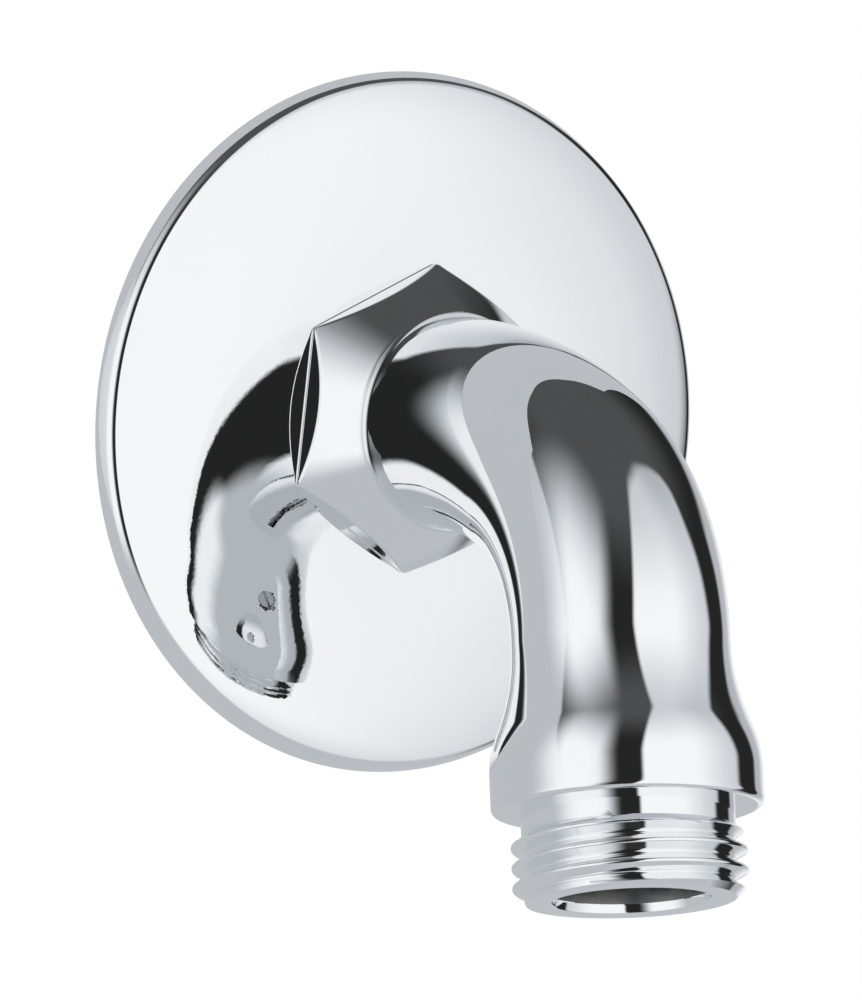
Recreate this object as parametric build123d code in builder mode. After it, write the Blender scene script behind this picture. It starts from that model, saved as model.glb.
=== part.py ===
"""Wall shower arm: a cast elbow with a hexagon flange, its loose rosette and a slotted grub screw.

Sizes are in millimetres. The wall is the plane y = 0, the inlet axis is the Y axis, the arm
stands out towards -Y and the outlet points down. X runs along the wall and Z is up.
"""

import math
import os

from build123d import *

# Pipe thread G 1/2, drawn as a plain cylinder at its major diameter
thread_major_d = 20.955
thread_relief_d = 19.0
thread_chamfer = 1.15

# Rosette: a pressed disc that hangs on the inlet shank and is clamped by the flange
rosette_d = 65.0
rosette_height = 3.6
rosette_seat_d = 32.0
rosette_dome_drop = 0.6
rosette_edge_height = 1.7
rosette_side_lean = 0.7
rosette_border = 5.8
rosette_edge_round = 0.25
rosette_wall = 1.0
rosette_hang = 0.6
rosette_hole_clearance = 0.3

# Hexagon flange, and the cone that runs from it into the neck
flange_across_flats = 25.0
flange_rim = 2.5
flange_corner_round = 0.7
trumpet_angle = 40.0
trumpet_fillet = 2.3

# Neck and bend: a gentle first arc, then the main arc down to the outlet direction
tube_d = 19.5
neck_bend_r = 45.4
neck_bend_angle = 23.0
main_bend_r = 20.9
main_bend_angle = 52.0

# Outlet: short straight tube, ogee flare, collar with a rounded lower edge, threaded nipple
tube_tail = 2.1
flare_hollow_length = 5.2
flare_swell_length = 4.0
collar_d = 24.2
collar_length = 4.2
collar_round = 1.5
outlet_relief_length = 1.9
outlet_thread_length = 6.2

# Inlet shank behind the rosette
inlet_relief_length = 3.4
inlet_thread_length = 15.6

# Waterway: a cored passage, opened out by a drill at both ends
waterway_d = 12.0
inlet_bore_d = 13.7
inlet_bore_depth = 16.0
outlet_bore_d = 13.7
outlet_bore_depth = 12.0

# Slotted grub screw in the back of the arm, above the collar
screw_d = 2.5
screw_length = 3.0
screw_recess = 0.4
screw_thread_clearance = 0.05
screw_from_bend = 2.2
screw_slot_width = 0.5
screw_slot_depth = 0.7
screw_slot_turn = 27.0
screw_point_chamfer = 0.3

# Places that follow from the sizes
flange_back = -rosette_height
flange_corner_r = flange_across_flats / math.sqrt(3)
trumpet_lean = math.radians(trumpet_angle)
cone_mouth_r = flange_across_flats / 2 + flange_rim * math.tan(trumpet_lean)
cone_length = (flange_across_flats - tube_d) / 2 / math.tan(trumpet_lean)
cone_foot = flange_back - flange_rim - cone_length
neck_start = cone_foot - trumpet_fillet * math.tan(trumpet_lean / 2)
inlet_end = flange_back + inlet_relief_length + inlet_thread_length
rosette_r = rosette_d / 2
rosette_edge_r = rosette_r - rosette_side_lean
rosette_border_r = rosette_edge_r - rosette_border
rosette_seat_r = rosette_seat_d / 2
rosette_brim_height = rosette_height - rosette_dome_drop
rosette_hole_r = thread_major_d / 2 + rosette_hang + rosette_hole_clearance
tube_r = tube_d / 2
collar_r = collar_d / 2
thread_r = thread_major_d / 2
relief_r = thread_relief_d / 2
flare_start = tube_tail
flare_end = flare_start + flare_hollow_length + flare_swell_length
collar_end = flare_end + collar_length
outlet_thread_start = collar_end + outlet_relief_length
outlet_end = outlet_thread_start + outlet_thread_length
flare_turn = flare_start + flare_hollow_length
flare_turn_share = flare_hollow_length / (flare_hollow_length + flare_swell_length)
flare_turn_r = tube_r + (collar_r - tube_r) * flare_turn_share


# Rosette: turned section of a pressed disc, with a flat seat, a low dome and a rounder border
rosette_plane = Plane(origin=(0, 0, -rosette_hang), x_dir=(1, 0, 0), z_dir=(0, 0, 1))
with BuildPart() as rosette:
    with BuildSketch(rosette_plane) as rosette_section:
        with BuildLine():
            Line((rosette_r, 0), (rosette_edge_r, -rosette_edge_height))
            dome = TangentArc(
                (rosette_seat_r, -rosette_height),
                (rosette_border_r, -rosette_brim_height),
                tangent=(1, 0),
            )
            TangentArc(dome @ 1, (rosette_edge_r, -rosette_edge_height), tangent=dome % 1)
            Polyline(
                (rosette_seat_r, -rosette_height),
                (rosette_hole_r, -rosette_height),
                (rosette_hole_r, -rosette_height + rosette_wall),
                (rosette_seat_r, -rosette_height + rosette_wall),
            )
            inner_dome = TangentArc(
                (rosette_seat_r, -rosette_height + rosette_wall),
                (rosette_border_r, -rosette_brim_height + rosette_wall),
                tangent=(1, 0),
            )
            inner_edge = (rosette_edge_r - rosette_wall, -rosette_edge_height + rosette_wall)
            TangentArc(inner_dome @ 1, inner_edge, tangent=inner_dome % 1)
            Polyline(inner_edge, (rosette_r - rosette_wall, 0), (rosette_r, 0))
        make_face()
        edge_corner = (rosette_edge_r, -rosette_edge_height, 0)
        fillet(rosette_section.vertices().sort_by_distance(edge_corner)[0], rosette_edge_round)
    revolve(axis=Axis(rosette_plane.origin, (0, 1, 0)))


with BuildPart() as arm_body:
    # Hexagon flange: a turned cone cut by six flats, with a corner at the top
    with BuildSketch(Plane.XY) as trumpet_section:
        with BuildLine():
            Polyline(
                (0, neck_start),
                (0, flange_back),
                (cone_mouth_r, flange_back),
                (tube_r, cone_foot),
                (tube_r, neck_start),
                close=True,
            )
        make_face()
        neck_corner = (tube_r, cone_foot, 0)
        fillet(trumpet_section.vertices().sort_by_distance(neck_corner)[0], trumpet_fillet)
    revolve(axis=Axis.Y)
    flange_plane = Plane(origin=(0, flange_back, 0), x_dir=(0, 0, 1), z_dir=(0, -1, 0))
    with BuildSketch(flange_plane) as flange_outline:
        RegularPolygon(flange_corner_r, side_count=6)
        fillet(flange_outline.vertices(), flange_corner_round)
    extrude(amount=flange_back - neck_start, mode=Mode.INTERSECT)

    # Neck and bend: one round tube swept along two arcs that meet in line
    with BuildLine(Plane.YZ) as centre_line:
        neck_arc = JernArc((neck_start, 0), (-1, 0), neck_bend_r, neck_bend_angle)
        main_arc = JernArc(neck_arc @ 1, neck_arc % 1, main_bend_r, main_bend_angle)
    with BuildSketch(Plane(origin=neck_arc @ 0, x_dir=(1, 0, 0), z_dir=neck_arc % 0)):
        Circle(tube_r)
    sweep()

    # Outlet: flare, collar and nipple turned about the outlet axis
    outlet_dir = main_arc % 1
    outlet_back = Vector(1, 0, 0).cross(outlet_dir)
    outlet_plane = Plane(origin=main_arc @ 1, x_dir=(1, 0, 0), z_dir=outlet_back)
    with BuildSketch(outlet_plane) as outlet_section:
        with BuildLine():
            Polyline((0, 0), (tube_r, 0), (tube_r, flare_start))
            TangentArc((tube_r, flare_start), (flare_turn_r, flare_turn), tangent=(0, 1))
            TangentArc((collar_r, flare_end), (flare_turn_r, flare_turn), tangent=(0, -1))
            Polyline(
                (collar_r, flare_end),
                (collar_r, collar_end),
                (relief_r, collar_end),
                (relief_r, outlet_thread_start),
                (thread_r, outlet_thread_start),
                (thread_r, outlet_end - thread_chamfer),
                (thread_r - thread_chamfer, outlet_end),
                (0, outlet_end),
                (0, 0),
            )
        make_face()
        collar_corner = (collar_r, collar_end, 0)
        fillet(outlet_section.vertices().sort_by_distance(collar_corner)[0], collar_round)
    revolve(axis=Axis(outlet_plane.origin, outlet_dir))

    # Inlet shank: relief at the flange, then the thread that screws into the wall
    with BuildSketch(Plane.XY) as shank_section:
        with BuildLine():
            Polyline(
                (0, flange_back),
                (relief_r, flange_back),
                (relief_r, flange_back + inlet_relief_length),
                (thread_r, flange_back + inlet_relief_length),
                (thread_r, inlet_end - thread_chamfer),
                (thread_r - thread_chamfer, inlet_end),
                (0, inlet_end),
                (0, flange_back),
            )
        make_face()
    revolve(axis=Axis.Y)

    # Waterway: cored passage along the whole centre line, then the two drilled mouths
    with BuildLine(Plane.YZ) as water_line:
        Line((inlet_end, 0), (neck_start, 0))
        JernArc((neck_start, 0), (-1, 0), neck_bend_r, neck_bend_angle)
        JernArc(neck_arc @ 1, neck_arc % 1, main_bend_r, main_bend_angle)
        Line(main_arc @ 1, main_arc @ 1 + outlet_dir * outlet_end)
    with BuildSketch(Plane(origin=(0, inlet_end, 0), x_dir=(1, 0, 0), z_dir=(0, -1, 0))):
        Circle(waterway_d / 2)
    sweep(mode=Mode.SUBTRACT)
    with BuildSketch(Plane(origin=(0, inlet_end, 0), x_dir=(1, 0, 0), z_dir=(0, -1, 0))):
        Circle(inlet_bore_d / 2)
    extrude(amount=inlet_bore_depth, mode=Mode.SUBTRACT)
    mouth_centre = main_arc @ 1 + outlet_dir * outlet_end
    with BuildSketch(Plane(origin=mouth_centre, x_dir=(1, 0, 0), z_dir=outlet_dir * -1)):
        Circle(outlet_bore_d / 2)
    extrude(amount=outlet_bore_depth, mode=Mode.SUBTRACT)

    # Tapped hole for the grub screw, through the back wall of the tube
    screw_centre = main_arc @ 1 + outlet_dir * screw_from_bend
    screw_plane = Plane(origin=screw_centre, x_dir=outlet_dir * -1, z_dir=outlet_back)
    with BuildSketch(screw_plane):
        Circle(screw_d / 2 + screw_thread_clearance)
    extrude(amount=collar_r, mode=Mode.SUBTRACT)


# Grub screw: turned with a chamfered point, then slotted across its outer end
screw_r = screw_d / 2
screw_head = tube_r - screw_recess
screw_tip = screw_head - screw_length
screw_section_plane = Plane(origin=screw_centre, x_dir=outlet_dir * -1, z_dir=(-1, 0, 0))
with BuildPart() as grub_screw:
    with BuildSketch(screw_section_plane) as screw_section:
        with BuildLine():
            Polyline(
                (0, screw_tip),
                (screw_r - screw_point_chamfer, screw_tip),
                (screw_r, screw_tip + screw_point_chamfer),
                (screw_r, screw_head),
                (0, screw_head),
                close=True,
            )
        make_face()
    revolve(axis=Axis(screw_centre, outlet_back))
    with BuildSketch(screw_plane.offset(screw_head)):
        Rectangle(screw_d * 2, screw_slot_width, rotation=-screw_slot_turn)
    extrude(amount=-screw_slot_depth, mode=Mode.SUBTRACT)


arm_body.part.label = "arm_body"
rosette.part.label = "rosette"
grub_screw.part.label = "grub_screw"

os.makedirs("parts", exist_ok=True)
export_step(arm_body.part, "parts/arm_body.step")
export_step(rosette.part, "parts/rosette.step")
export_step(grub_screw.part, "parts/grub_screw.step")
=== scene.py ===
"""Chrome wall shower arm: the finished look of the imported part.

Laid out as an add-on and run as a script. Lengths are in metres, in the part's own frame: the wall
is the plane y = 0, the arm stands out towards -Y, the outlet points down and Z is up.
"""

import math

import bmesh
import bpy
import numpy as np
from bpy.props import FloatProperty, FloatVectorProperty, PointerProperty
from mathutils import Matrix, Vector


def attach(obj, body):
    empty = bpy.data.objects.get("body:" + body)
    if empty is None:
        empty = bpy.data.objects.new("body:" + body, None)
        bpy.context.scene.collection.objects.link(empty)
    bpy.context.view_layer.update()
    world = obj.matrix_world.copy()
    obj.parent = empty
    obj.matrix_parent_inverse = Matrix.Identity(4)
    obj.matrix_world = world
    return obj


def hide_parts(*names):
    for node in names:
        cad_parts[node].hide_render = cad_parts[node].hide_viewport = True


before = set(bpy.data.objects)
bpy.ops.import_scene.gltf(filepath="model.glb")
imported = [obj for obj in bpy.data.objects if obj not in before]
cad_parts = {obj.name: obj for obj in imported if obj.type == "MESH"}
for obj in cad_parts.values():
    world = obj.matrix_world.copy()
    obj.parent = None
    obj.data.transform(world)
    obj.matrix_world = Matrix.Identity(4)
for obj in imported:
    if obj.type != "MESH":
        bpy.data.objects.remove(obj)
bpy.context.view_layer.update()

bl_info = {
    "name": "Shower arm",
    "version": (1, 0, 0),
    "blender": (4, 5, 0),
    "location": "View3D > Sidebar > Shower arm",
    "description": "Builds a chrome wall shower arm, its rosette and its grub screw",
    "category": "Add Mesh",
}

PHOTO_WIDTH = 862
PHOTO_HEIGHT = 1000
MM = 0.001
ACROSS = np.array((1.0, 0.0, 0.0))
FULL_TURN = 2.0 * math.pi
SIXTH_TURN = math.pi / 3.0

# How finely the meshes are cut, what counts as a sharp edge and what is welded
COLUMNS = 120
ROSETTE_COLUMNS = 288
SCREW_COLUMNS = 25
TENT_COLUMNS = 360
SHARP_ANGLE = math.radians(40.0)
WELD = 2e-7

# Distance of the extra row that holds a flat next to a round
HOLD = 0.05 * MM

# Half width of the patch round the screw's hole, in screw diameters
SCREW_PATCH = 0.85

# Standard pipe thread: half angle of its flanks, then its round and depth as shares of the pitch
THREAD_FLANK = math.radians(27.5)
THREAD_ROUND = 0.137329
THREAD_DEPTH = 0.640327

# Rise of the first thread out of its groove, for each length along the axis
THREAD_RUN_OUT = 1.4

# Polishing marks: how much darker the dull places are, and the depth of the finest marks
DULL_SHARE = 0.96
MARK_DEPTH = 0.01 * MM

# Stage: half width of the floor, and how much bluer the middle greys of the tent are
FLOOR_REACH = 2.0
COOL_GREYS = 0.16


def length(name, text, millimetres):
    """A length property whose default is given in millimetres."""
    return FloatProperty(
        name=name, description=text, default=millimetres * MM, min=0.0, precision=5, unit="LENGTH"
    )


def angle(name, text, degrees):
    """An angle property whose default is given in degrees."""
    return FloatProperty(name=name, description=text, default=math.radians(degrees), subtype="ANGLE")


def number(name, text, value):
    """A plain number property."""
    return FloatProperty(name=name, description=text, default=value, precision=4)


def pair(name, text, first, last):
    """A property of two plain numbers."""
    return FloatVectorProperty(
        name=name, description=text, default=(first, last), size=2, precision=2
    )


def colour(name, text, value):
    """A colour property."""
    return FloatVectorProperty(
        name=name, description=text, default=value, size=3, min=0.0, max=1.0, subtype="COLOR"
    )


class ArmBodySizes(bpy.types.PropertyGroup):
    """Sizes of the cast arm, from the hexagon flange to the outlet thread."""

    flange_back: length("Flange back", "Distance of the flange's back face from the wall", 3.6)
    flange_across_flats: length("Flange", "Hexagon flange across its flats", 25.0)
    flange_rim: length("Flange rim", "Thickness of the flange in the middle of its flats", 2.5)
    flange_corner_round: length("Corner round", "Round on the six corners of the flange", 0.7)
    flange_edge_round: length("Edge round", "Round where the flats meet the trumpet", 0.26)
    trumpet_angle: angle("Trumpet angle", "Lean of the trumpet's cone from the arm's axis", 40.0)
    trumpet_fillet: length("Trumpet fillet", "Radius that runs the cone into the neck", 2.3)
    tube_d: length("Tube", "Outside diameter of the neck and the bend", 19.5)
    neck_bend_r: length("Neck bend", "Radius of the gentle first arc", 45.4)
    neck_bend_angle: angle("Neck angle", "Turn of the gentle first arc", 23.0)
    main_bend_r: length("Main bend", "Radius of the main arc", 20.9)
    main_bend_angle: angle("Main angle", "Turn of the main arc", 52.0)
    tube_tail: length("Tail", "Straight tube after the bend", 2.1)
    flare_length: length("Flare", "Length of the flare from the tube to the collar", 9.2)
    flare_lead: length("Flare lead", "How far polishing has drawn the flare up the tube", 1.4)
    flare_trail: length("Flare trail", "How far polishing has drawn the flare down the collar", 0.9)
    flare_turn: number("Flare turn", "Share of the flare that is hollow", 0.66)
    collar_d: length("Collar", "Diameter of the collar", 24.2)
    collar_length: length("Collar length", "Straight length of the collar", 4.2)
    collar_round: length("Collar round", "Round on the collar's lower edge", 0.6)
    outlet_relief_length: length("Outlet relief", "Groove between collar and thread", 1.9)
    outlet_thread_length: length("Outlet thread", "Length of the outlet thread", 6.2)
    inlet_relief_length: length("Inlet relief", "Groove between flange and inlet thread", 3.4)
    inlet_thread_length: length("Inlet thread", "Length of the inlet thread", 15.6)
    thread_major_d: length("Thread", "Diameter over the thread's crests", 20.955)
    thread_pitch: length("Pitch", "Distance from crest to crest", 1.814)
    thread_relief_d: length("Relief", "Diameter of the grooves beside the threads", 19.0)
    thread_chamfer: length("Thread chamfer", "Chamfer at the thread's free end", 1.15)
    thread_start_turn: angle("Thread start", "Turn at which both threads start", -78.0)
    waterway_d: length("Waterway", "Diameter of the cored passage", 12.0)
    mouth_d: length("Mouth", "Diameter of the drilled ends", 13.7)
    mouth_lip: length("Mouth lip", "Round at the edge of the drilled ends", 0.15)
    mouth_flare: length("Mouth flare", "How far the outlet opens out towards its end", 0.22)
    mouth_flare_length: length("Mouth flare length", "Length over which the outlet opens out", 0.85)
    outlet_mouth_depth: length("Outlet mouth", "Depth of the drilled outlet", 12.0)
    inlet_mouth_depth: length("Inlet mouth", "Depth of the drilled inlet", 16.0)


class RosetteSizes(bpy.types.PropertyGroup):
    """Sizes of the loose round rosette."""

    diameter: length("Rosette", "Diameter at the wall", 65.0)
    height: length("Height", "From the wall to the flat seat under the flange", 3.6)
    seat_d: length("Seat", "Diameter of the flat seat under the flange", 32.0)
    dome_drop: length("Dome", "Fall of the low dome from the seat to the border", 0.6)
    edge_height: length("Edge height", "From the wall to the outer edge", 1.7)
    side_lean: length("Side lean", "How far the rim leans in towards the face", 0.7)
    border: length("Border", "Width of the rounder border", 5.8)
    edge_round: length("Edge round", "How far polishing has rounded the outer edge", 0.6)
    foot_round: length("Foot round", "Round up the rim from its edge at the wall", 0.2)
    wall: length("Wall", "Thickness of the sheet", 1.0)
    hang: length("Hang", "How far the loose rosette hangs below the arm's axis", 0.6)
    hole_d: length("Hole", "Diameter of the hole for the shank", 22.755)


class GrubScrewSizes(bpy.types.PropertyGroup):
    """Sizes of the slotted screw in the back of the arm."""

    diameter: length("Screw", "Diameter of the screw", 2.5)
    length: length("Length", "Length of the screw", 3.0)
    recess: length("Recess", "Depth of its head below the tube", 0.4)
    clearance: length("Clearance", "Room round the screw in its hole", 0.05)
    from_bend: length("From bend", "Distance of its axis below the end of the bend", 2.2)
    slot_width: length("Slot width", "Width of the driver slot", 0.5)
    slot_depth: length("Slot depth", "Depth of the driver slot", 0.7)
    slot_turn: angle("Slot turn", "Turn of the slot from the arm's run", 27.0)
    point_chamfer: length("Point chamfer", "Chamfer at the screw's point", 0.3)
    head_round: length("Head round", "Bevel round the screw's head", 0.12)
    hole_lip: length("Hole lip", "Countersink at the edge of the hole", 0.15)
    hole_floor: length("Hole floor", "Metal left between the hole and the waterway", 0.08)


class FinishSettings(bpy.types.PropertyGroup):
    """Colours of the metals."""

    chrome: colour("Chrome", "Colour of the plated arm", (0.925, 0.935, 0.945))
    rosette_chrome: colour("Rosette chrome", "Colour of the plated rosette", (0.925, 0.935, 0.945))
    bore: colour("Bore", "Colour of the rough passage", (0.30, 0.30, 0.30))
    steel: colour("Steel", "Colour of the screw", (0.62, 0.63, 0.64))


class StudioSettings(bpy.types.PropertyGroup):
    """Camera, floor and light."""

    camera_distance: length("Camera distance", "From the camera to the part's origin", 800.0)
    camera_azimuth: angle("Azimuth", "Turn of the camera round the part", -33.17)
    camera_elevation: angle("Elevation", "Height of the camera above the horizon", 0.66)
    camera_roll: angle("Roll", "Roll of the camera", 6.08)
    camera_scale: number("Scale", "Picture points per millimetre at the origin", 10.81)
    origin_across: number("Origin across", "Picture point of the origin, from the left", 397.65)
    origin_down: number("Origin down", "Picture point of the origin, from the top", 415.98)
    floor_drop: length("Floor", "Depth of the floor below the origin", 300.0)
    floor_tone: number("Floor tone", "Tone of the floor's paint", 0.9)
    floor_glow: number("Floor glow", "Share of the floor that glows white, without shadow", 0.85)
    world_dim: number("World", "Strength of the surroundings where they light the floor", 0.8)
    tent_radius: length("Tent", "Radius of the light tent round the part", 400.0)
    tent_out: length("Tent out", "Distance of the tent's middle from the wall", 35.0)
    tent_down: length("Tent down", "Depth of the tent's middle below the origin", 12.0)
    grey_tone: number("Grey", "Tone of the card behind the part and of the tent below it", 0.55)
    dark_tone: number("Dark", "Tone of the dark cloth round the camera and on the right", 0.02)
    ceiling_tone: number("Ceiling", "Tone of the dim ceiling", 0.08)
    card_back: length("Card back", "Distance of the card behind the wall plane", 30.0)
    card_top: length("Card top", "Height of the card's upper edge", 117.0)
    card_left: length("Card left", "Reach of the card to the left", 130.0)
    card_right: length("Card right", "Reach of the card to the right", 75.0)


class TentSettings(bpy.types.PropertyGroup):
    """Painted lights of the tent.

    Turns are degrees round from the wall's normal and rises are degrees above the horizon.
    """

    dark_fade: pair("Dark fade", "Rise over which dark cloth fades into the ceiling", 28.0, 62.0)
    card_slope: number("Card slope", "Slope up to the grey card's upper edge, straight behind", 1.65)
    card_blur: number("Card blur", "Softness of the grey card's upper edge", 1.5)
    left_middle: pair("Left box", "Turn and rise of the left soft box's middle", -85.0, 5.0)
    left_reach: pair("Left reach", "How far the left soft box glows round and up", 80.0, 60.0)
    left_fade: pair("Left fade", "Shares of its reach between which it fades", 0.2, 1.08)
    gap_fade: pair("Gap fade", "Turn over which it fades into the dark gap", -62.0, -42.0)
    back_fade: pair("Back fade", "Turn over which the grey behind fades into it", -126.0, -88.0)
    gap_turn: number("Gap", "Turn inside the dark gap that parts left from right", -34.0)
    right_turn: number("Right box", "Turn of the right soft box's middle", 33.0)
    right_reach: pair("Right reach", "How far the right soft box glows round and up", 58.0, 73.5)
    right_fade: pair("Right fade", "Shares of its reach between which it fades", 0.78, 1.0)
    right_top_tone: number("Right top", "Tone left at its upper edge", 0.66)
    right_top_fade: pair("Right top fade", "Rise over which it dims upwards", 24.0, 66.0)
    right_side_tone: number("Right side", "Tone left at its far side", 0.68)
    right_side_fade: pair("Right side fade", "Turn over which it dims sideways", 20.0, 74.0)
    flag_turn: pair("Flag", "Turn of the dark flag's edge, low and high", 74.0, 83.0)
    flag_lean: pair("Flag lean", "Rise over which the flag's edge leans", 35.0, 55.0)
    flag_blur: number("Flag blur", "Softness of the flag's edge", 4.0)
    reflector_tone: pair("Reflector", "Tones of the pale reflector", 0.5, 0.9)
    reflector_turn: pair("Reflector turn", "Turn over which it brightens", 112.0, 132.0)
    reflector_rise: pair("Reflector rise", "Rise over which it dims again", 4.0, 16.0)
    reflector_side: pair("Reflector side", "Turn over which it begins", 99.0, 106.0)
    reflector_top: pair("Reflector top", "Rise over which it ends", 17.0, 24.0)
    far_fade: pair("Far fade", "Turn over which the right gives way to the grey behind", 134.0, 140.0)
    foot_fade: pair("Foot fade", "Rise over which the grey below ends", -46.0, -28.0)


def settings(name):
    """One of the add-on's property groups."""
    return getattr(bpy.context.scene, "shower_arm_" + name)


# Where the arm runs


def trumpet_length(arm):
    """Length from the flange's back face, over the rim, the cone and the fillet, to the neck."""
    cone = (arm.flange_across_flats - arm.tube_d) / 2 / math.tan(arm.trumpet_angle)
    return arm.flange_rim + cone + arm.trumpet_fillet * math.tan(arm.trumpet_angle / 2)


def stations(arm):
    """Distances along the centre line, from the flange's back face, where the section changes."""
    neck = trumpet_length(arm)
    bend = neck + arm.neck_bend_r * arm.neck_bend_angle
    tail = bend + arm.main_bend_r * arm.main_bend_angle
    flare = tail + arm.tube_tail
    collar = flare + arm.flare_length
    under = collar + arm.collar_length
    thread = under + arm.outlet_relief_length
    outlet = thread + arm.outlet_thread_length
    inlet_thread = -arm.inlet_relief_length
    inlet = inlet_thread - arm.inlet_thread_length
    return {
        "neck": neck, "bend": bend, "tail": tail, "flare": flare, "collar": collar, "under": under,
        "thread": thread, "outlet": outlet, "inlet_thread": inlet_thread, "inlet": inlet,
    }


def centre_line(arm, run):
    """Centre points and upward normals of the arm at the given distances along it."""
    run = np.asarray(run, float)
    place = stations(arm)
    first = np.clip((run - place["neck"]) / arm.neck_bend_r, 0.0, arm.neck_bend_angle)
    second = np.clip((run - place["bend"]) / arm.main_bend_r, 0.0, arm.main_bend_angle)
    lean = first + second
    start = np.minimum(run, place["neck"])
    end = np.maximum(run - place["tail"], 0.0)
    out = start + arm.neck_bend_r * np.sin(first)
    out = out + arm.main_bend_r * (np.sin(lean) - np.sin(first)) + end * np.cos(lean)
    drop = arm.neck_bend_r * (1.0 - np.cos(first))
    drop = drop + arm.main_bend_r * (np.cos(first) - np.cos(lean)) + end * np.sin(lean)
    none = np.zeros_like(run)
    centre = np.stack((none, -arm.flange_back - out, -drop), axis=-1)
    upward = np.stack((none, -np.sin(lean), np.cos(lean)), axis=-1)
    return centre, upward


def skin(arm, run, radius, turn):
    """Points at a radius off the centre line and a turn round it, from arrays of one shape."""
    centre, upward = centre_line(arm, run)
    away = np.cos(turn)[..., None] * upward + np.sin(turn)[..., None] * ACROSS
    return centre + radius[..., None] * away


# Meshes


class Shell:
    """Collects grids of points and closes them into one mesh."""

    def __init__(self):
        self.points = []
        self.faces = []
        self.finishes = []
        self.count = 0

    def add_points(self, points):
        """Adds points and returns their numbers, in the same shape."""
        shape = points.shape[:-1]
        flat = points.reshape(-1, 3)
        numbers = self.count + np.arange(len(flat)).reshape(shape)
        self.points.append(flat)
        self.count += len(flat)
        return numbers

    def add_faces(self, faces, finish=0):
        """Adds faces, each a row of point numbers."""
        faces = [list(map(int, face)) for face in faces]
        self.faces += faces
        self.finishes += [finish] * len(faces)

    def add_ring_grid(self, points, finish=0, keep=None):
        """Adds rows of closed rings; keep is a mask of the quads to use."""
        numbers = self.add_points(points)
        beside = np.roll(numbers, -1, axis=1)
        quads = np.stack((numbers[:-1], beside[:-1], beside[1:], numbers[1:]), axis=-1)
        quads = quads.reshape(-1, 4) if keep is None else quads[keep]
        self.add_faces(quads, finish)
        return numbers

    def make(self, name, finishes):
        """Welds the grids and links the object."""
        mesh = bpy.data.meshes.new(name)
        mesh.from_pydata(np.concatenate(self.points).tolist(), [], self.faces)
        mesh.polygons.foreach_set("material_index", self.finishes)
        work = bmesh.new()
        work.from_mesh(mesh)
        bmesh.ops.remove_doubles(work, verts=work.verts, dist=WELD)
        bmesh.ops.dissolve_degenerate(work, dist=WELD, edges=work.edges)
        bmesh.ops.recalc_face_normals(work, faces=work.faces)
        open_edges = sum(1 for edge in work.edges if len(edge.link_faces) != 2)
        if open_edges:
            print(name, "has open edges:", open_edges)
        work.to_mesh(mesh)
        work.free()
        mesh.polygons.foreach_set("use_smooth", [True] * len(mesh.polygons))
        mesh.set_sharp_from_angle(angle=SHARP_ANGLE)
        for finish in finishes:
            mesh.materials.append(finish)
        piece = bpy.data.objects.new(name, mesh)
        bpy.context.scene.collection.objects.link(piece)
        return piece


def soft_corner(start, corner, end, steps):
    """Pairs on a small curve that starts and ends on the two sides of a corner."""
    pairs = []
    for step in range(1, steps):
        t = step / steps
        pairs.append(tuple(
            (1 - t) ** 2 * a + 2 * t * (1 - t) * b + t ** 2 * c
            for a, b, c in zip(start, corner, end)
        ))
    return pairs


def between(first, last, steps):
    """Evenly spaced values after the first, up to the last."""
    return [first + (last - first) * step / steps for step in range(1, steps + 1)]


def tangent_arc(start, way, end, shares):
    """Pairs at shares of an arc that leaves start at an angle and reaches end."""
    chord = math.hypot(end[0] - start[0], end[1] - start[1])
    half = math.atan2(end[1] - start[1], end[0] - start[0]) - way
    radius = chord / (2 * math.sin(half))
    pairs = []
    for share in shares:
        now = way + 2 * half * share
        pairs.append((
            start[0] + radius * (math.sin(now) - math.sin(way)),
            start[1] - radius * (math.cos(now) - math.cos(way)),
        ))
    return pairs


def crossing(start, way, end, side):
    """Point where a line from start along way meets a line through end along side."""
    gap = (end[0] - start[0], end[1] - start[1])
    reach = (gap[0] * side[1] - gap[1] * side[0]) / (way[0] * side[1] - way[1] * side[0])
    return (start[0] + reach * way[0], start[1] + reach * way[1])


# Arm body


def corner_touch(arm):
    """Angle from a hexagon corner's direction to the end of its round."""
    seat = (arm.flange_across_flats / 2 - arm.flange_corner_round) / math.cos(SIXTH_TURN / 2)
    beside = arm.flange_corner_round * math.sin(SIXTH_TURN / 2)
    return math.atan2(beside, seat + arm.flange_corner_round * math.cos(SIXTH_TURN / 2))


def hexagon_radius(arm, turn):
    """Distance from the axis to the flange's side, with a corner at the top and rounded corners."""
    half = arm.flange_across_flats / 2
    off = np.abs((turn + SIXTH_TURN / 2) % SIXTH_TURN - SIXTH_TURN / 2)
    flat = half / np.cos(SIXTH_TURN / 2 - off)
    seat = (half - arm.flange_corner_round) / math.cos(SIXTH_TURN / 2)
    inside = np.maximum(arm.flange_corner_round ** 2 - (seat * np.sin(off)) ** 2, 0.0)
    corner = seat * np.cos(off) + np.sqrt(inside)
    return np.where(off < corner_touch(arm), corner, flat)


def column_turns(arm):
    """Turns of the mesh's columns: even ones, and closer ones at the hexagon's corners."""
    even = np.arange(COLUMNS) * FULL_TURN / COLUMNS
    close = corner_touch(arm) * np.array((-1.5, -1.0, -0.66, -0.33, 0.33, 0.66, 1.0, 1.5))
    corners = [corner * SIXTH_TURN + close for corner in range(6)]
    turns = np.concatenate([even] + corners) % FULL_TURN
    return np.unique(np.round(turns, 7))


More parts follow.
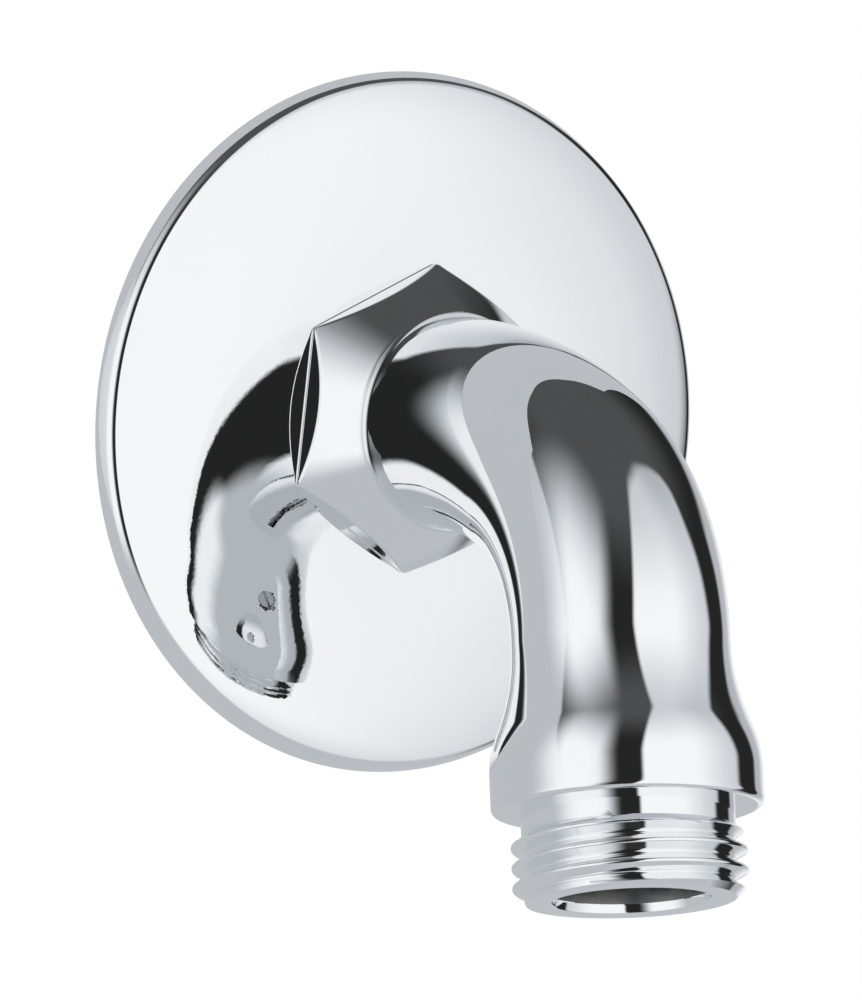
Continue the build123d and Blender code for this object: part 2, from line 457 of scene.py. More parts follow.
def trumpet_profile(arm):
    """Run and radius along the trumpet: the cone from a corner, then the neck's fillet."""
    lean, fillet = arm.trumpet_angle, arm.trumpet_fillet
    half = arm.flange_across_flats / 2
    corner_r = half / math.cos(SIXTH_TURN / 2)
    pairs = [(arm.flange_rim - (corner_r - half) / math.tan(lean), corner_r)]
    neck = trumpet_length(arm)
    for bend in [lean] + between(lean, 0.0, 60):
        pairs.append((neck - fillet * math.sin(bend), arm.tube_d / 2 + fillet * (1 - math.cos(bend))))
    return np.array(pairs)


def flange_rows(arm, turn):
    """Run and radius of the flange's and trumpet's rows, one array of columns each."""
    profile = trumpet_profile(arm)
    way = np.concatenate(([0.0], np.cumsum(np.hypot(*np.diff(profile, axis=0).T))))
    side = hexagon_radius(arm, turn)
    meet = np.interp(-side, -profile[:, 1], way)

    def on_trumpet(along):
        return np.interp(along, way, profile[:, 0]), np.interp(along, way, profile[:, 1])

    # The rim is thin at the corners, so its rounds shrink there
    edge = on_trumpet(meet)[0]
    ease = np.minimum(arm.flange_edge_round, edge * 0.4)
    hold = np.minimum(HOLD, edge * 0.05)
    none = np.zeros_like(turn)
    rows = [(none, none + arm.thread_relief_d / 2)]
    for share in (0.5, 0.95, 1.0):
        rows.append((none, arm.thread_relief_d / 2 * (1 - share) + (side - ease) * share))
    rows += soft_corner((none, side - ease), (none, side), (ease, side), 5)
    for run in (ease, ease + hold, edge / 2, edge - ease - hold, edge - ease):
        rows.append((run, side))
    begin = on_trumpet(meet + ease)
    rows += soft_corner((edge - ease, side), (edge, side), begin, 6)
    rows.append(begin)
    for share in [0.012] + between(0.012, 1.0, 44):
        rows.append(on_trumpet((meet + ease) * (1 - share) + way[-1] * share))
    return rows


def outer_rows(arm):
    """Run and radius of the rows from the neck to the groove above the outlet thread."""
    place = stations(arm)
    tube_r = arm.tube_d / 2
    collar_r = arm.collar_d / 2
    relief_r = arm.thread_relief_d / 2
    rows = [(run, tube_r) for run in between(place["neck"], place["bend"], 44)]
    start = place["flare"] - arm.flare_lead
    end = place["collar"] + arm.flare_trail
    rows += [(run, tube_r) for run in between(place["bend"], start, 84)]
    flare = between(start, end, 52)
    rows += list(zip(flare, tube_radius(arm, np.array(flare))))
    ease = arm.collar_round
    rows += [(run, collar_r) for run in between(end, place["under"] - ease, 8)]
    for bend in between(0.0, math.pi / 2, 12):
        rows.append((
            place["under"] - ease + ease * math.sin(bend), collar_r - ease + ease * math.cos(bend)
        ))
    rows += [(place["under"], radius) for radius in (collar_r - ease - HOLD, relief_r)]
    rows += [(run, relief_r) for run in between(place["under"], place["thread"], 4)]
    return rows


def tube_radius(arm, run):
    """Radius of the tube, and of the flare that swells from it into the collar."""
    place = stations(arm)
    start = place["flare"] - arm.flare_lead
    span = place["collar"] + arm.flare_trail - start
    share = np.clip((run - start) / span, 0.0, 1.0)
    turn = arm.flare_turn
    swell = np.where(share < turn, share ** 2 / turn, 1 - (1 - share) ** 2 / (1 - turn))
    return arm.tube_d / 2 + (arm.collar_d - arm.tube_d) / 2 * swell


def add_screw_hole(arm, screw, shell, run, turn, numbers, top, bottom, left, right):
    """Closes a window in the tube's grid with a patch and the grub screw's blind hole."""
    place = stations(arm)
    axis_run = place["tail"] + screw.from_bend
    hole_r = screw.diameter / 2 + screw.clearance
    loop = [(top, column) for column in range(left, right)]
    loop += [(row, right) for row in range(top, bottom)]
    loop += [(bottom, column) for column in range(right, left, -1)]
    loop += [(row, left) for row in range(bottom, top, -1)]
    rows = np.array([row for row, column in loop])
    columns = np.array([column for row, column in loop])
    outer_run = run[rows]
    outer_turn = turn[columns] - math.pi
    across = tube_radius(arm, outer_run) * np.sin(outer_turn)
    way = np.arctan2(across, outer_run - axis_run)
    previous = numbers[rows, columns]

    def on_skin(size):
        hole_run = axis_run + size * np.cos(way)
        return hole_run, np.arcsin(size * np.sin(way) / tube_radius(arm, hole_run))

    def join(points):
        nonlocal previous
        new = shell.add_points(points)
        shell.add_faces(zip(previous, np.roll(previous, -1), np.roll(new, -1), new))
        previous = new

    rim_run, rim_turn = on_skin(hole_r + screw.hole_lip)
    for share in (0.3, 0.6, 0.85, 0.97, 1.0):
        ring_run = outer_run * (1 - share) + rim_run * share
        ring_turn = outer_turn * (1 - share) + rim_turn * share
        join(skin(arm, ring_run, tube_radius(arm, ring_run), ring_turn + math.pi))
    lip_run, lip_turn = on_skin(hole_r)
    lip_r = tube_radius(arm, lip_run)
    join(skin(arm, lip_run, lip_r - screw.hole_lip, lip_turn + math.pi))
    centre, upward = centre_line(arm, axis_run)
    along = np.cross(ACROSS, upward)
    floor_depth = arm.waterway_d / 2 + screw.hole_floor
    ring = centre - upward * floor_depth + hole_r * (
        np.cos(way)[:, None] * along - np.sin(way)[:, None] * ACROSS
    )
    join(ring)
    shell.add_faces([previous])


def thread_profile(arm):
    """Axial place and height above the root over one pitch of a rounded pipe thread."""
    pitch = arm.thread_pitch
    round_r = THREAD_ROUND * pitch
    depth = THREAD_DEPTH * pitch
    root = []
    for share in (0.0, 0.5, 1.0):
        bend = (math.pi / 2 - THREAD_FLANK) * share
        root.append((round_r * math.sin(bend), round_r * (1 - math.cos(bend))))
    crest = [(pitch / 2 - place, depth - height) for place, height in reversed(root)]
    rising = root + crest
    falling = [(pitch - place, height) for place, height in reversed(rising[1:-1])]
    return rising + falling, depth


def add_thread(arm, shell, turn, start, end):
    """Adds a right-hand thread between a groove at start and a chamfered free end."""
    profile, depth = thread_profile(arm)
    pitch = arm.thread_pitch
    major_r = arm.thread_major_d / 2
    relief_r = arm.thread_relief_d / 2
    end_r = major_r - arm.thread_chamfer
    ahead = 1.0 if end > start else -1.0
    span = abs(end - start)
    pitches = math.ceil(span / pitch) + 4
    place = np.array([a + pitch * n for n in range(pitches) for a, b in profile])
    height = np.array([b for n in range(pitches) for a, b in profile])
    turned = (turn - arm.thread_start_turn) % FULL_TURN
    past = place[:, None] - ahead * pitch * turned[None, :] / FULL_TURN - 2 * pitch
    radius = np.broadcast_to((major_r - depth + height)[:, None], past.shape).copy()
    radius = np.minimum(radius, major_r - np.maximum(past - (span - arm.thread_chamfer), 0.0))
    radius = np.minimum(radius, relief_r + np.maximum(past, 0.0) * THREAD_RUN_OUT)
    low, high = past <= 0.0, past >= span
    radius[low], radius[high] = relief_r, end_r
    past = np.clip(past, 0.0, span)
    points = skin(arm, start + ahead * past, radius, np.broadcast_to(turn, past.shape))
    numbers = shell.add_points(points)
    # The rows wind round the axis, and where the turn starts again they join one pitch on
    step = len(profile)
    split = int(np.argmax(turned))
    faces = []
    for column in range(len(turn)):
        following = (column + 1) % len(turn)
        jump = 0 if column != split else int(-ahead) * step
        for row in range(len(place) - 1):
            other = row + jump
            if 0 <= other and other + 1 < len(place):
                faces.append((
                    numbers[row, column], numbers[other, following],
                    numbers[other + 1, following], numbers[row + 1, column],
                ))
    shell.add_faces(faces)


def bore_rows(arm):
    """Run and radius of the rows from the outlet's end face, through the waterway, to the inlet's."""
    place = stations(arm)
    end_r = arm.thread_major_d / 2 - arm.thread_chamfer
    mouth_r = arm.mouth_d / 2
    water_r = arm.waterway_d / 2
    lip = arm.mouth_lip
    outlet, inlet = place["outlet"], place["inlet"]
    outlet_step = outlet - arm.outlet_mouth_depth
    inlet_step = inlet + arm.inlet_mouth_depth
    opened, deep = arm.mouth_flare, arm.mouth_flare_length
    edge_r = mouth_r + opened
    face = [(outlet, radius) for radius in (end_r, end_r - HOLD, edge_r + lip + HOLD, edge_r + lip)]
    ease = lip / math.hypot(opened, deep)
    face += soft_corner(face[-1], (outlet, edge_r), (outlet - deep * ease, edge_r - opened * ease), 6)
    for share in [ease] + between(ease, 1.0, 5):
        face.append((outlet - deep * share, edge_r - opened * share))
    bore = [face[-1]]
    bore += [(run, mouth_r) for run in between(face[-1][0], outlet_step, 8)]
    bore += [(outlet_step, water_r)]
    bore += [(run, water_r) for run in between(outlet_step, place["bend"], 40)]
    bore += [(run, water_r) for run in between(place["bend"], place["neck"], 12)]
    bore += [(run, water_r) for run in between(place["neck"], inlet_step, 2)]
    bore += [(inlet_step, mouth_r)]
    bore += [(run, mouth_r) for run in between(inlet_step, inlet + lip, 6)]
    back = [(inlet, mouth_r + lip), (inlet, end_r)]
    return face, bore, back


def row_arrays(rows, turn):
    """Run and radius of rows in every column, from one value or one array of columns each."""
    none = np.zeros_like(turn)
    run = np.stack([row[0] + none for row in rows])
    radius = np.stack([row[1] + none for row in rows])
    return run, radius


def row_points(arm, rows, turn):
    """Points of rows in every column."""
    run, radius = row_arrays(rows, turn)
    return skin(arm, run, radius, np.broadcast_to(turn, run.shape))


def build_arm_body(arm, screw, finishes):
    """The whole casting as one closed mesh: flange, trumpet, bend, collar, threads and waterway."""
    place = stations(arm)
    turn = column_turns(arm)
    shell = Shell()
    flange = flange_rows(arm, turn)
    rows = flange + outer_rows(arm)
    run = row_arrays(rows, turn)[0][:, 0]
    reach = screw.diameter * SCREW_PATCH
    axis_run = place["tail"] + screw.from_bend
    rows_in = [n for n in range(len(flange), len(run)) if abs(run[n] - axis_run) < reach]
    columns_in = [n for n in range(len(turn)) if abs(turn[n] - math.pi) * arm.tube_d / 2 < reach]
    top, bottom = rows_in[0], rows_in[-1]
    left, right = columns_in[0], columns_in[-1]
    keep = np.ones((len(run) - 1, len(turn)), bool)
    keep[top:bottom, left:right] = False
    numbers = shell.add_ring_grid(row_points(arm, rows, turn), keep=keep)
    add_screw_hole(arm, screw, shell, run, turn, numbers, top, bottom, left, right)
    add_thread(arm, shell, turn, place["thread"], place["outlet"])
    face, bore, back = bore_rows(arm)
    shell.add_ring_grid(row_points(arm, face, turn))
    shell.add_ring_grid(row_points(arm, bore + [back[0]], turn), finish=1)
    shell.add_ring_grid(row_points(arm, back, turn))
    add_thread(arm, shell, turn, place["inlet_thread"], place["inlet"])
    relief_r = arm.thread_relief_d / 2
    groove = [(0.0, relief_r), (place["inlet_thread"], relief_r)]
    shell.add_ring_grid(row_points(arm, groove, turn))
    return shell.make("shower_arm_body", finishes)


# Rosette


def rosette_face(sizes, inset, last):
    """Radius and height of the face from its hole to a share of its border, inset by a wall."""
    height = sizes.height - inset
    edge_r = sizes.diameter / 2 - sizes.side_lean
    seat = (sizes.seat_d / 2, height)
    brim = (edge_r - sizes.border, height - sizes.dome_drop)
    edge = (edge_r - inset, sizes.edge_height - inset)
    pairs = [(sizes.hole_d / 2, height)]
    pairs += [(radius, height) for radius in between(sizes.hole_d / 2, seat[0], 6)]
    pairs += tangent_arc(seat, 0.0, brim, between(0.0, 1.0, 36))
    fall = 2 * math.atan2(brim[1] - seat[1], brim[0] - seat[0])
    return pairs + tangent_arc(brim, fall, edge, between(0.0, last, 36))


def rosette_profile(sizes):
    """Radius and height from the wall round the rosette's section, from its hole to its hole."""
    outer = sizes.diameter / 2
    edge_r = outer - sizes.side_lean
    ease = sizes.edge_round
    front = rosette_face(sizes, 0.0, 1 - ease / sizes.border)
    slope = math.hypot(sizes.side_lean, sizes.edge_height)
    side = (edge_r + sizes.side_lean * ease / slope, sizes.edge_height * (1 - ease / slope))
    way = (front[-1][0] - front[-2][0], front[-1][1] - front[-2][1])
    corner = crossing(front[-1], way, side, (sizes.side_lean, -sizes.edge_height))
    front += soft_corner(front[-1], corner, side, 24)
    front.append(side)
    low = 1 - sizes.foot_round / slope
    front.append((edge_r + sizes.side_lean * low, sizes.edge_height * (1 - low)))
    foot = (outer - sizes.foot_round / 2, 0.0)
    front += soft_corner(front[-1], (outer, 0.0), foot, 4)
    front.append(foot)
    back = rosette_face(sizes, sizes.wall, 1.0)
    return front + [(outer - sizes.wall, 0.0)] + back[::-1] + [front[0]]


def build_rosette(sizes, finishes):
    """The pressed disc as one closed mesh, turned about its own axis."""
    turn = np.arange(ROSETTE_COLUMNS) * FULL_TURN / ROSETTE_COLUMNS
    shell = Shell()
    rings = []
    for radius, height in rosette_profile(sizes):
        rings.append(np.stack((
            radius * np.sin(turn), np.full_like(turn, -height), radius * np.cos(turn) - sizes.hang
        ), axis=-1))
    shell.add_ring_grid(np.stack(rings))
    return shell.make("shower_rosette", finishes)


# Grub screw


def build_grub_screw(arm, screw, finishes):
    """The slotted screw: a turned body whose head is cut into two halves by the slot."""
    place = stations(arm)
    centre, upward = centre_line(arm, place["tail"] + screw.from_bend)
    back = -upward
    up_tube = np.cross(ACROSS, back)
    beside = np.cross(back, up_tube)
    radius = screw.diameter / 2
    half = screw.slot_width / 2
    head = arm.tube_d / 2 - screw.recess
    tip = head - screw.length
    floor = head - screw.slot_depth
    ease = screw.head_round
    start = math.asin(half / radius)
    half_turn = np.linspace(start, math.pi - start, SCREW_COLUMNS)
    arc = np.concatenate((half_turn, half_turn + math.pi)) - screw.slot_turn

    def ring(size, height):
        flat = size[:, None] * (np.cos(arc)[:, None] * up_tube + np.sin(arc)[:, None] * beside)
        return centre + flat + back * height

    whole = np.full(len(arc), radius)
    shell = Shell()
    rings = [ring(whole - screw.point_chamfer, tip), ring(whole, tip + screw.point_chamfer)]
    rings += [ring(whole, floor)]
    numbers = shell.add_ring_grid(np.stack(rings))
    shell.add_faces([numbers[0]])
    count = SCREW_COLUMNS
    upper = shell.add_points(np.stack((ring(whole, head - ease), ring(whole - ease, head))))
    for first in (0, count):
        span = range(first, first + count - 1)
        for low, high in ((numbers[2], upper[0]), (upper[0], upper[1])):
            shell.add_faces([(low[n], low[n + 1], high[n + 1], high[n]) for n in span])
        shell.add_faces([upper[1][first:first + count]])
        last = first + count - 1
        shell.add_faces([(
            numbers[2][first], upper[0][first], upper[1][first],
            upper[1][last], upper[0][last], numbers[2][last],
        )])
    shell.add_faces([(
        numbers[2][0], numbers[2][count - 1], numbers[2][count], numbers[2][2 * count - 1]
    )])
    return shell.make("shower_grub_screw", finishes)


# Finishes


def new_material(name):
    """An empty node material with its output."""
    material = bpy.data.materials.new(name)
    material.use_nodes = True
    nodes = material.node_tree.nodes
    nodes.clear()
    output = nodes.new("ShaderNodeOutputMaterial")
    return material, nodes, material.node_tree.links, output


def polish_group():
    """Faint polishing marks: a tone, a roughness share and a height that vary over the metal."""
    found = bpy.data.node_groups.get("Polish marks")
    if found:
        return found
    group = bpy.data.node_groups.new("Polish marks", "ShaderNodeTree")
    face = group.interface
    face.new_socket("Colour", in_out="INPUT", socket_type="NodeSocketColor")
    face.new_socket("Dull colour", in_out="INPUT", socket_type="NodeSocketColor")
    for name, default in (("Scale", 90.0), ("Smooth", 0.03), ("Dull", 0.08)):
        face.new_socket(name, in_out="INPUT", socket_type="NodeSocketFloat").default_value = default
    face.new_socket("Colour", in_out="OUTPUT", socket_type="NodeSocketColor")
    face.new_socket("Roughness", in_out="OUTPUT", socket_type="NodeSocketFloat")
    face.new_socket("Height", in_out="OUTPUT", socket_type="NodeSocketFloat")
    nodes, links = group.nodes, group.links
    start = nodes.new("NodeGroupInput")
    end = nodes.new("NodeGroupOutput")
    where = nodes.new("ShaderNodeTexCoord")
    cloud = nodes.new("ShaderNodeTexNoise")
    cloud.inputs["Detail"].default_value = 4.0
    links.new(where.outputs["Object"], cloud.inputs["Vector"])
    links.new(start.outputs["Scale"], cloud.inputs["Scale"])
    fine = nodes.new("ShaderNodeTexNoise")
    fine.inputs["Scale"].default_value = 2600.0
    fine.inputs["Detail"].default_value = 2.0
    links.new(where.outputs["Object"], fine.inputs["Vector"])
    tone = nodes.new("ShaderNodeMix")
    tone.data_type = "RGBA"
    links.new(cloud.outputs["Fac"], tone.inputs["Factor"])
    links.new(start.outputs["Colour"], tone.inputs["A"])
    links.new(start.outputs["Dull colour"], tone.inputs["B"])
    gloss = nodes.new("ShaderNodeMapRange")
    gloss.inputs["From Min"].default_value = 0.3
    gloss.inputs["From Max"].default_value = 0.7
    links.new(cloud.outputs["Fac"], gloss.inputs["Value"])
    links.new(start.outputs["Smooth"], gloss.inputs["To Min"])
    links.new(start.outputs["Dull"], gloss.inputs["To Max"])
    links.new(tone.outputs["Result"], end.inputs["Colour"])
    links.new(gloss.outputs["Result"], end.inputs["Roughness"])
    links.new(fine.outputs["Fac"], end.inputs["Height"])
    return group


def metal(name, tint, scale, smooth, dull, bump):
    """A polished metal with faint marks of its polishing."""
    material, nodes, links, output = new_material(name)
    shader = nodes.new("ShaderNodeBsdfPrincipled")
    shader.inputs["Metallic"].default_value = 1.0
    marks = nodes.new("ShaderNodeGroup")
    marks.node_tree = polish_group()
    marks.inputs["Colour"].default_value = (*tint, 1.0)
    marks.inputs["Dull colour"].default_value = (*[part * DULL_SHARE for part in tint], 1.0)
    marks.inputs["Scale"].default_value = scale
    marks.inputs["Smooth"].default_value = smooth
    marks.inputs["Dull"].default_value = dull
    links.new(marks.outputs["Colour"], shader.inputs["Base Color"])
    links.new(marks.outputs["Roughness"], shader.inputs["Roughness"])
    relief = nodes.new("ShaderNodeBump")
    relief.inputs["Strength"].default_value = bump
    relief.inputs["Distance"].default_value = MARK_DEPTH
    links.new(marks.outputs["Height"], relief.inputs["Height"])
    links.new(relief.outputs["Normal"], shader.inputs["Normal"])
    links.new(shader.outputs["BSDF"], output.inputs["Surface"])
    return material


def place_piece(piece, node):
    """Puts a piece on the part's body in the place of its node."""
    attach(piece, "root")
    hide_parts(node)


# Stage


def seen_by_mirror(nodes, links):
    """Value 1 for rays from the camera, from polished metal and through glass."""
    path = nodes.new("ShaderNodeLightPath")
    first = nodes.new("ShaderNodeMath")
    first.operation = "MAXIMUM"
    links.new(path.outputs["Is Camera Ray"], first.inputs[0])
    links.new(path.outputs["Is Glossy Ray"], first.inputs[1])
    second = nodes.new("ShaderNodeMath")
    second.operation = "MAXIMUM"
    links.new(first.outputs["Value"], second.inputs[0])
    links.new(path.outputs["Is Transmission Ray"], second.inputs[1])
    return second.outputs["Value"]


def build_world(studio):
    """White surroundings, a little dimmer where they light the floor."""
    world = bpy.data.worlds.new("Studio")
    world.use_nodes = True
    bpy.context.scene.world = world
    nodes, links = world.node_tree.nodes, world.node_tree.links
    nodes.clear()
    output = nodes.new("ShaderNodeOutputWorld")
    light = nodes.new("ShaderNodeBackground")
    light.inputs["Color"].default_value = (1.0, 1.0, 1.0, 1.0)
    strength = nodes.new("ShaderNodeMapRange")
    strength.inputs["To Min"].default_value = studio.world_dim
    strength.inputs["To Max"].default_value = 1.0
    links.new(seen_by_mirror(nodes, links), strength.inputs["Value"])
    links.new(strength.outputs["Result"], light.inputs["Strength"])
    links.new(light.outputs["Background"], output.inputs["Surface"])


def build_camera(studio):
    """The photograph's view: its turn, height, roll and distance."""
    turn, rise, roll = studio.camera_azimuth, studio.camera_elevation, studio.camera_roll
    back = Vector((
        math.sin(turn) * math.cos(rise), -math.cos(turn) * math.cos(rise), math.sin(rise)
    ))
    level = Vector((math.cos(turn), math.sin(turn), 0.0))
    upright = back.cross(level)
    right = level * math.cos(roll) + upright * math.sin(roll)
    up = upright * math.cos(roll) - level * math.sin(roll)
    focal = studio.camera_scale * studio.camera_distance / MM
    offset_x = (studio.origin_across - PHOTO_WIDTH / 2) / focal * studio.camera_distance
    offset_y = (PHOTO_HEIGHT / 2 - studio.origin_down) / focal * studio.camera_distance
    place = back * studio.camera_distance - right * offset_x - up * offset_y
    lens = bpy.data.cameras.new("Camera")
    lens.sensor_width = 36.0
    lens.lens = focal * lens.sensor_width / PHOTO_HEIGHT
    lens.clip_start = 0.01
    camera = bpy.data.objects.new("Camera", lens)
    bpy.context.scene.collection.objects.link(camera)
    camera.matrix_world = Matrix((
        (right.x, up.x, back.x, place.x),
        (right.y, up.y, back.y, place.y),
        (right.z, up.z, back.z, place.z),
        (0.0, 0.0, 0.0, 1.0),
    ))
    bpy.context.scene.camera = camera


def build_floor(studio):
    """A plain pale floor that keeps the part's shadow."""
    signs = ((-1, -1), (1, -1), (1, 1), (-1, 1))
    corners = [(x * FLOOR_REACH, y * FLOOR_REACH, -studio.floor_drop) for x, y in signs]
    mesh = bpy.data.meshes.new("Floor")
    mesh.from_pydata(corners, [], [(0, 1, 2, 3)])
    material, nodes, links, output = new_material("Pale floor")
    paint = nodes.new("ShaderNodeBsdfDiffuse")
    paint.inputs["Color"].default_value = (*[studio.floor_tone] * 3, 1.0)
    glow = nodes.new("ShaderNodeEmission")
    mix = nodes.new("ShaderNodeMixShader")
    share = nodes.new("ShaderNodeMath")
    share.operation = "MULTIPLY"
    share.inputs[1].default_value = studio.floor_glow
    links.new(seen_by_mirror(nodes, links), share.inputs[0])
    links.new(share.outputs["Value"], mix.inputs["Fac"])
    links.new(paint.outputs["BSDF"], mix.inputs[1])
    links.new(glow.outputs["Emission"], mix.inputs[2])
    links.new(mix.outputs["Shader"], output.inputs["Surface"])
    mesh.materials.append(material)
    floor = bpy.data.objects.new("Floor", mesh)
    bpy.context.scene.collection.objects.link(floor)
    floor.visible_glossy = False


def eased(value, first, last):
    """Smooth step from 0 at the first value to 1 at the last."""
    share = np.clip((value - first) / (last - first), 0.0, 1.0)
    return share * share * (3.0 - 2.0 * share)


def blend(first, second, share):
    """Mix of two tones."""
    return first * (1.0 - share) + second * share


def left_tone(studio, tent, turn, rise, dark, back):
    """Tone of the tent's left half: a glowing soft box between the grey behind and the dark gap."""
    middle, reach = tent.left_middle, tent.left_reach
    off = np.hypot((turn - middle[0]) / reach[0], np.maximum(rise - middle[1], 0.0) / reach[1])
    glow = blend(1.0, studio.ceiling_tone, eased(off, *tent.left_fade))
    glow = blend(glow, dark, eased(turn, *tent.gap_fade))
    return blend(back, glow, eased(turn, *tent.back_fade))


def right_tone(tent, turn, rise, dark, back):
    """Tone of the tent's right half: a larger soft box, a dark flag and a pale low reflector."""
    reach = tent.right_reach
    off = (np.abs(turn - tent.right_turn) / reach[0]) ** 3
    off = off + (np.maximum(rise, 0.0) / reach[1]) ** 3
    tone = blend(1.0, tent.right_top_tone, eased(rise, *tent.right_top_fade))
    tone = tone * blend(1.0, tent.right_side_tone, eased(turn, *tent.right_side_fade))
    tone = blend(tone, dark, eased(off, *tent.right_fade))
    flag = blend(*tent.flag_turn, eased(rise, *tent.flag_lean))
    tone = blend(tone, dark, eased(turn - flag, -tent.flag_blur, tent.flag_blur))
    bright = eased(turn, *tent.reflector_turn) * (1.0 - eased(rise, *tent.reflector_rise))
    seen = eased(turn, *tent.reflector_side) * (1.0 - eased(rise, *tent.reflector_top))
    tone = blend(tone, blend(*tent.reflector_tone, bright), seen)
    return blend(tone, back, eased(turn, *tent.far_fade))


def tent_tone(studio, tent, turn, rise):
    """Tone of the tent by degrees round from the wall's normal and degrees above the horizon.

    A soft box glows on the left and a larger one stands on the right. Dark cloth hangs between
    them, where the camera looks through, and on the far right above a pale reflector. All of it
    fades upwards into a dim ceiling, and grey hangs behind the part and below it.
    """
    grey = studio.grey_tone
    dark = blend(studio.dark_tone, studio.ceiling_tone, eased(rise, *tent.dark_fade))
    behind = np.maximum(-np.cos(np.radians(turn)), 0.0)
    card_edge = np.degrees(np.arctan(tent.card_slope * behind))
    back = blend(grey, dark, eased(rise - card_edge, -tent.card_blur, tent.card_blur))
    left = left_tone(studio, tent, turn, rise, dark, back)
    right = right_tone(tent, turn, rise, dark, back)
    tone = np.where(turn < tent.gap_turn, left, right)
    return blend(grey, tone, eased(rise, *tent.foot_fade))


def glowing(name):
    """A cloth that glows in the tones painted on its mesh."""
    material, nodes, links, output = new_material(name)
    paint = nodes.new("ShaderNodeVertexColor")
    paint.layer_name = "Tone"
    glow = nodes.new("ShaderNodeEmission")
    links.new(paint.outputs["Color"], glow.inputs["Color"])
    links.new(glow.outputs["Emission"], output.inputs["Surface"])
    material.cycles.emission_sampling = "NONE"
    return material


def hang_cloth(name, points, faces, tone):
    """A painted cloth that only polished surfaces see."""
    mesh = bpy.data.meshes.new(name)
    mesh.from_pydata(points.reshape(-1, 3).tolist(), [], faces.tolist())
    paint = mesh.color_attributes.new("Tone", "FLOAT_COLOR", "POINT")
    tone = tone.reshape(-1)
    cool = COOL_GREYS * tone * (1.0 - tone)
    tints = np.stack((tone * (1.0 - cool), tone, tone * (1.0 + cool), np.ones_like(tone)), axis=-1)
    paint.data.foreach_set("color", tints.reshape(-1))
    mesh.materials.append(glowing(name))
    cloth = bpy.data.objects.new(name, mesh)
    bpy.context.scene.collection.objects.link(cloth)
    cloth.visible_camera = False
    cloth.visible_diffuse = False
    cloth.visible_shadow = False


def build_tent(studio, tent):
    """The light tent round the part and the grey card behind it."""
    turn = np.linspace(-math.pi, math.pi, TENT_COLUMNS, endpoint=False)
    rise = np.linspace(-math.pi / 2, math.pi / 2, TENT_COLUMNS // 2 + 1)
    rise, turn = np.meshgrid(rise, turn, indexing="ij")
    away = np.stack((
        np.cos(rise) * np.sin(turn), -np.cos(rise) * np.cos(turn), np.sin(rise)
    ), axis=-1)
    middle = np.array((0.0, -studio.tent_out, -studio.tent_down))
    numbers = np.arange(rise.size).reshape(rise.shape)
    beside = np.roll(numbers, -1, axis=1)
    faces = np.stack((numbers[:-1], beside[:-1], beside[1:], numbers[1:]), axis=-1).reshape(-1, 4)
    tone = tent_tone(studio, tent, np.degrees(turn), np.degrees(rise))
    hang_cloth("Light tent", middle + studio.tent_radius * away, faces, tone)
    left, right, top = -studio.card_left, studio.card_right, studio.card_top
    back, foot = studio.card_back, -studio.tent_radius / 2
    corners = np.array(((left, back, foot), (right, back, foot), (right, back, top), (left, back, top)))
    hang_cloth("Grey card", corners, np.array(((0, 1, 2, 3),)), np.full(4, studio.grey_tone))


# Operators


class SHOWERARM_OT_arm_body(bpy.types.Operator):
    """Build the cast arm with its threads and its waterway"""

    bl_idname = "shower_arm.arm_body"
    bl_label = "Arm body"

    def execute(self, context):
        finish = settings("finish")
        chrome = metal("Arm chrome", finish.chrome, scale=90.0, smooth=0.0, dull=0.012, bump=0.01)
        rough = metal("Rough bore", finish.bore, scale=900.0, smooth=0.3, dull=0.5, bump=0.8)
        piece = build_arm_body(settings("body"), settings("screw"), [chrome, rough])
        place_piece(piece, "arm_body")
        return {"FINISHED"}


class SHOWERARM_OT_rosette(bpy.types.Operator):
    """Build the loose round rosette"""

    bl_idname = "shower_arm.rosette"
    bl_label = "Rosette"

    def execute(self, context):
        finish = settings("finish")
        chrome = metal(
            "Rosette chrome", finish.rosette_chrome, scale=60.0, smooth=0.0, dull=0.012, bump=0.1
        )
        piece = build_rosette(settings("rosette"), [chrome])
        place_piece(piece, "rosette")
        return {"FINISHED"}


class SHOWERARM_OT_grub_screw(bpy.types.Operator):
    """Build the slotted grub screw in the back of the arm"""

    bl_idname = "shower_arm.grub_screw"
    bl_label = "Grub screw"

    def execute(self, context):
        finish = settings("finish")
        steel = metal("Screw steel", finish.steel, scale=700.0, smooth=0.15, dull=0.3, bump=0.2)
        piece = build_grub_screw(settings("body"), settings("screw"), [steel])
        place_piece(piece, "grub_screw")
        return {"FINISHED"}


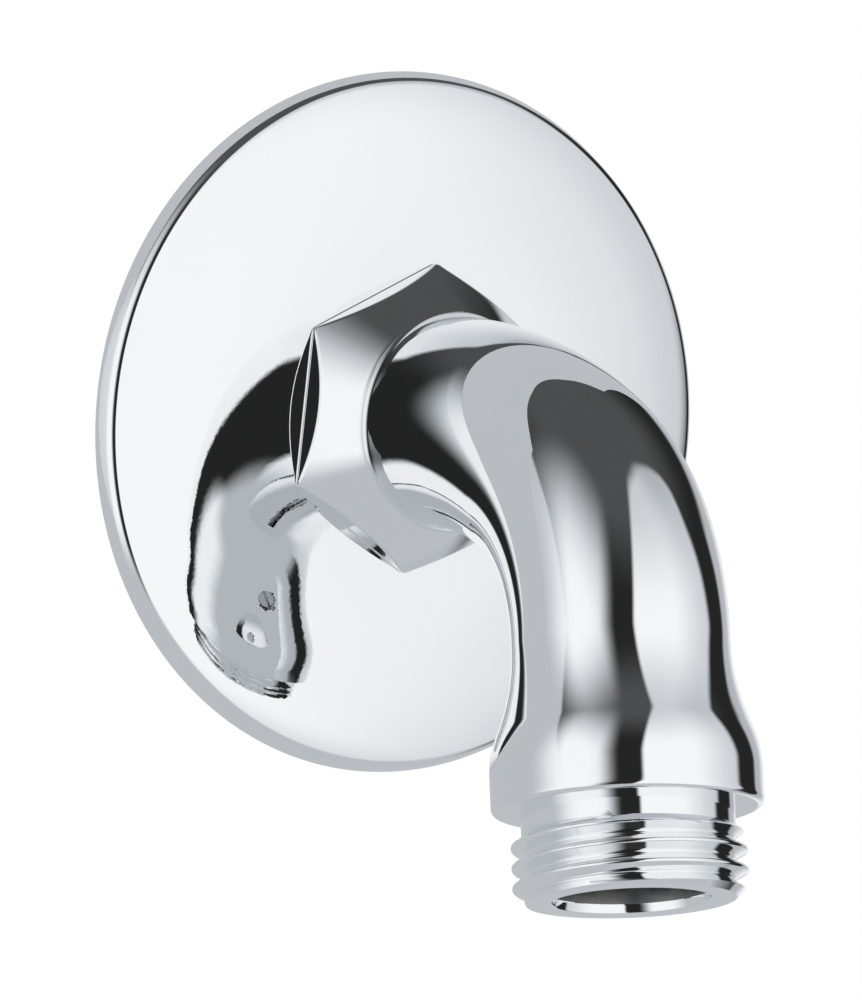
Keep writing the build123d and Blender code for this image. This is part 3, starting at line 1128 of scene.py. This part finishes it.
class SHOWERARM_OT_stage(bpy.types.Operator):
    """Set up the floor, the light and the camera"""

    bl_idname = "shower_arm.stage"
    bl_label = "Stage"

    def execute(self, context):
        studio = settings("studio")
        context.scene.view_settings.view_transform = "Standard"
        build_world(studio)
        build_floor(studio)
        build_tent(studio, settings("tent"))
        build_camera(studio)
        return {"FINISHED"}


class SHOWERARM_PT_panel(bpy.types.Panel):
    """Sizes, finishes and build steps of the shower arm"""

    bl_idname = "SHOWERARM_PT_panel"
    bl_label = "Shower arm"
    bl_space_type = "VIEW_3D"
    bl_region_type = "UI"
    bl_category = "Shower arm"

    def draw(self, context):
        for step in STEPS:
            self.layout.operator(step.bl_idname)
        for name in GROUPS:
            box = self.layout.box()
            box.label(text=name.capitalize())
            group = settings(name)
            for key in group.bl_rna.properties.keys():
                if key not in {"rna_type", "name"}:
                    box.prop(group, key)


GROUPS = {
    "body": ArmBodySizes,
    "rosette": RosetteSizes,
    "screw": GrubScrewSizes,
    "finish": FinishSettings,
    "studio": StudioSettings,
    "tent": TentSettings,
}
STEPS = (
    SHOWERARM_OT_arm_body,
    SHOWERARM_OT_rosette,
    SHOWERARM_OT_grub_screw,
    SHOWERARM_OT_stage,
)


def register():
    """Adds the classes and their settings."""
    for group in GROUPS.values():
        bpy.utils.register_class(group)
    for step in STEPS:
        bpy.utils.register_class(step)
    bpy.utils.register_class(SHOWERARM_PT_panel)
    for name, group in GROUPS.items():
        setattr(bpy.types.Scene, "shower_arm_" + name, PointerProperty(type=group))


def unregister():
    """Takes the settings and the classes away again."""
    for name in GROUPS:
        delattr(bpy.types.Scene, "shower_arm_" + name)
    bpy.utils.unregister_class(SHOWERARM_PT_panel)
    for step in reversed(STEPS):
        bpy.utils.unregister_class(step)
    for group in reversed(list(GROUPS.values())):
        bpy.utils.unregister_class(group)


def main():
    """Builds the arm step by step."""
    register()
    bpy.ops.shower_arm.arm_body()
    bpy.ops.shower_arm.rosette()
    bpy.ops.shower_arm.grub_screw()
    bpy.ops.shower_arm.stage()


if __name__ == "__main__":
    main()
